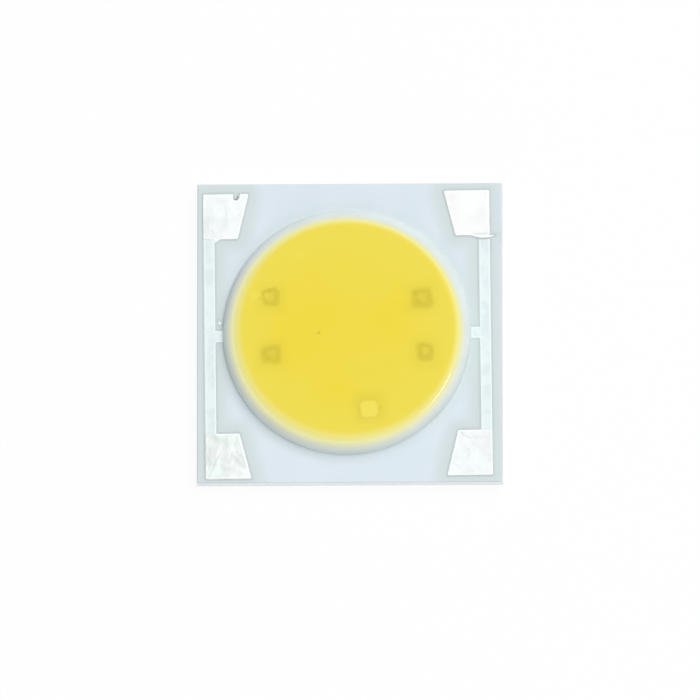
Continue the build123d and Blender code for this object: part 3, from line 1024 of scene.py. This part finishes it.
def gel_surface(radius):
    """Height of the gel's top round one ring: level, with slow swells and the speck's pit."""
    spots = circle * radius
    swell = SWELL * (ripple(spots, 1.6, 30.0) - 1) * min(1, (dam_crest - radius) / 0.6)
    speck = np.hypot(spots[:, 0] - SPECK_PLACE[0], spots[:, 1] - SPECK_PLACE[1])
    return gel_top - shoulder_drop(radius) + swell - SPECK_DEPTH * falloff(speck, SPECK_RADIUS)


def make_gel_shell():
    flat_radii = np.linspace(0, gel_flat, FLAT_RINGS)[1:]
    shoulder_radii = np.linspace(gel_flat, dam_crest, SHOULDER_RINGS)[1:]
    radii = [np.full(TURN_STEPS, r) for r in (*flat_radii, *shoulder_radii)]
    heights = [gel_surface(r[0]) for r in radii]
    wall = section[(section[:, 0] < dam_crest - 0.01) & (section[:, 1] > 0)][::-1]
    feet = [(dam_inner, None), (dam_inner - SHELL_GAP, None)]
    under = [(dam_inner - SHELL_GAP, gel_top - SHELL), (SHELL_GAP, gel_top - SHELL)]
    for radius, height in (*wall, *feet, *under):
        radii.append(np.full(TURN_STEPS, radius))
        heights.append(bus_level(circle * radius) if height is None else height)
    points, faces = turned_surface(radii, heights, close=False)
    top_middle, under_middle = len(points), len(points) + 1
    last_ring = (len(radii) - 1) * TURN_STEPS
    for here, after in round_pairs(TURN_STEPS):
        faces.append([top_middle, here, after])
        faces.append([under_middle, last_ring + after, last_ring + here])
    middles = [(0, 0, gel_surface(0.0)[0]), (0, 0, gel_top - SHELL)]
    points = np.vstack([points, middles])
    return make_piece("gel_dome", points, faces, gel_finish, "phosphor_gel")


make_gel_shell()

# %% [markdown]
# ## Dies, rails and wires under the gel
#
# These pieces are hidden, but they are part of the object, and someone may hide the gel to look at them. Their solids
# keep their shape and only get a finish: glassy blue sapphire, dark silicon, fired silver and drawn gold.


# %% Finishes for the hidden pieces
def make_plain(name, pale, dark, cloud_size, roughness, metallic):
    material, tree = new_finish(name)
    mask = clouds(tree, cloud_size, 3, 0.35, 0.7)
    rough = ramp(tree, mask, 0, 1, roughness, roughness + 0.12)
    dress(tree, mix_colours(tree, mask, pale, dark), rough, metallic)
    return material


hidden_finishes = {
    "led_die": make_plain("sapphire_die", (0.30, 0.52, 0.74, 1), (0.20, 0.38, 0.62, 1), 0.2, 0.12, 0.0),
    "rectifier_die": make_plain("silicon_die", (0.20, 0.20, 0.22, 1), (0.12, 0.12, 0.13, 1), 0.3, 0.3, 0.0),
    "regulator_die": make_plain("silicon_regulator", (0.34, 0.34, 0.36, 1), (0.24, 0.24, 0.26, 1), 0.2, 0.3, 0.0),
    "rail": silver,
    "bond_wire": make_plain("gold_wire", (0.90, 0.62, 0.22, 1), (0.80, 0.50, 0.15, 1), 0.1, 0.22, 1.0),
}
for node_name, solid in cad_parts.items():
    for word, finish in hidden_finishes.items():
        if word in node_name:
            solid.data.materials.clear()
            solid.data.materials.append(finish)
print("hidden pieces finished")

# %% [markdown]
# ## Floor, light and camera
#
# The part lies on a white sheet under soft light, most of it from all round and some from the upper right, so that the
# lower left of the bead falls into shade. The big lamps are kept out of reflections, so that the only glint on the wet
# shoulder is the small lamp's. The camera is far away behind a long lens, nearly straight above and leaning a little
# to the front, because the far and near edges of the plate look almost equally long.


# %% White floor
def seen_directly(tree):
    """1 where something is looked at, also in a reflection, and 0 where it only gives light."""
    path = add_node(tree, "LightPath").outputs
    seen = calculate(tree, "MAXIMUM", path["Is Camera Ray"], path["Is Glossy Ray"])
    return calculate(tree, "MAXIMUM", seen, path["Is Transmission Ray"])


FLOOR_WHITE = (0.94, 0.94, 0.94, 1)
FLOOR_GLOW = 0.92
FLOOR_GAP = 0.00001
floor_mesh = bpy.data.meshes.new("floor")
floor_half, floor_z = Vector((0.5, 0.5)), plate_low.z - FLOOR_GAP
floor_mesh.from_pydata(rectangle(-floor_half, floor_half, floor_z), [], [(0, 1, 2, 3)])
floor = add_object("floor", floor_mesh)
floor_finish, tree = new_finish("white_floor")
shader = tree.nodes["Principled BSDF"]
shader.inputs["Base Color"].default_value = FLOOR_WHITE
shader.inputs["Roughness"].default_value = 0.9
shader.inputs["Specular IOR Level"].default_value = 0.0
glow = add_node(tree, "Emission", {"Color": (1, 1, 1, 1), "Strength": 1.0})
glow_mask = calculate(tree, "MULTIPLY", seen_directly(tree), FLOOR_GLOW)
mixed = add_node(tree, "MixShader", {0: glow_mask, 1: shader.outputs[0], 2: glow.outputs[0]})
tree.links.new(mixed.outputs[0], tree.nodes["Material Output"].inputs["Surface"])
floor_mesh.materials.append(floor_finish)
print("floor at", floor_z)

# %% White surroundings
SKY_LIGHT = 0.38
world = bpy.data.worlds.new("white_surroundings")
bpy.context.scene.world = world
world.use_nodes = True
tree = world.node_tree
sky_strength = ramp(tree, seen_directly(tree), 0, 1, SKY_LIGHT, 1.0)
tree.links.new(sky_strength, tree.nodes["Background"].inputs["Strength"])
tree.nodes["Background"].inputs["Color"].default_value = (1, 1, 1, 1)
print("world:", world.name)


# %% Lamps
def add_lamp(name, azimuth, elevation, distance, size, power):
    """A lamp, so wide and so high, that looks at the part from a direction in degrees."""
    lamp = bpy.data.lights.new(name, "AREA")
    lamp.shape, (lamp.size, lamp.size_y), lamp.energy = "RECTANGLE", size, power
    a, e = math.radians(azimuth), math.radians(elevation)
    away = Vector((math.cos(e) * math.cos(a), math.cos(e) * math.sin(a), math.sin(e)))
    holder = add_object(name, lamp)
    holder.location = away * distance
    holder.rotation_euler = away.to_track_quat("Z", "Y").to_euler()
    print(name, "at", tuple(round(value, 3) for value in holder.location))
    return holder


key_lamp = add_lamp("key_lamp", azimuth=50, elevation=50, distance=0.60, size=(0.60, 0.60), power=2.99)
front_lamp = add_lamp("front_lamp", azimuth=-95, elevation=14, distance=0.30, size=(0.24, 0.10), power=0.20)
add_lamp("glint_lamp", azimuth=-21, elevation=63, distance=0.30, size=(0.10, 0.012), power=0.075)
key_lamp.visible_glossy = front_lamp.visible_glossy = False

# %% Camera
LENS, SENSOR, DISTANCE = 786.5, 36.0, 0.70
LEAN_FRONT, LEAN_RIGHT = math.radians(11.8), math.radians(1.45)
IMAGE_SIDE, PART_RAISED = 700, 15.7
view_out = Vector((math.tan(LEAN_RIGHT), -math.tan(LEAN_FRONT), 1)).normalized()
view_right = Vector((view_out.z, 0, -view_out.x)).normalized()
view_up = view_out.cross(view_right)
pixel = DISTANCE * SENSOR / LENS / IMAGE_SIDE
aim = (plate_low + plate_high) / 2 - view_up * PART_RAISED * pixel
camera_data = bpy.data.cameras.new("camera")
camera_data.lens, camera_data.sensor_width = LENS, SENSOR
camera_data.clip_start, camera_data.clip_end = 0.01, 10
camera = add_object("camera", camera_data)
axes = Matrix((view_right, view_up, view_out)).transposed().to_4x4()
camera.matrix_world = Matrix.Translation(aim + view_out * DISTANCE) @ axes
bpy.context.scene.camera = camera
bpy.context.scene.view_settings.view_transform = "Standard"
print("camera at", tuple(round(value, 4) for value in camera.location))
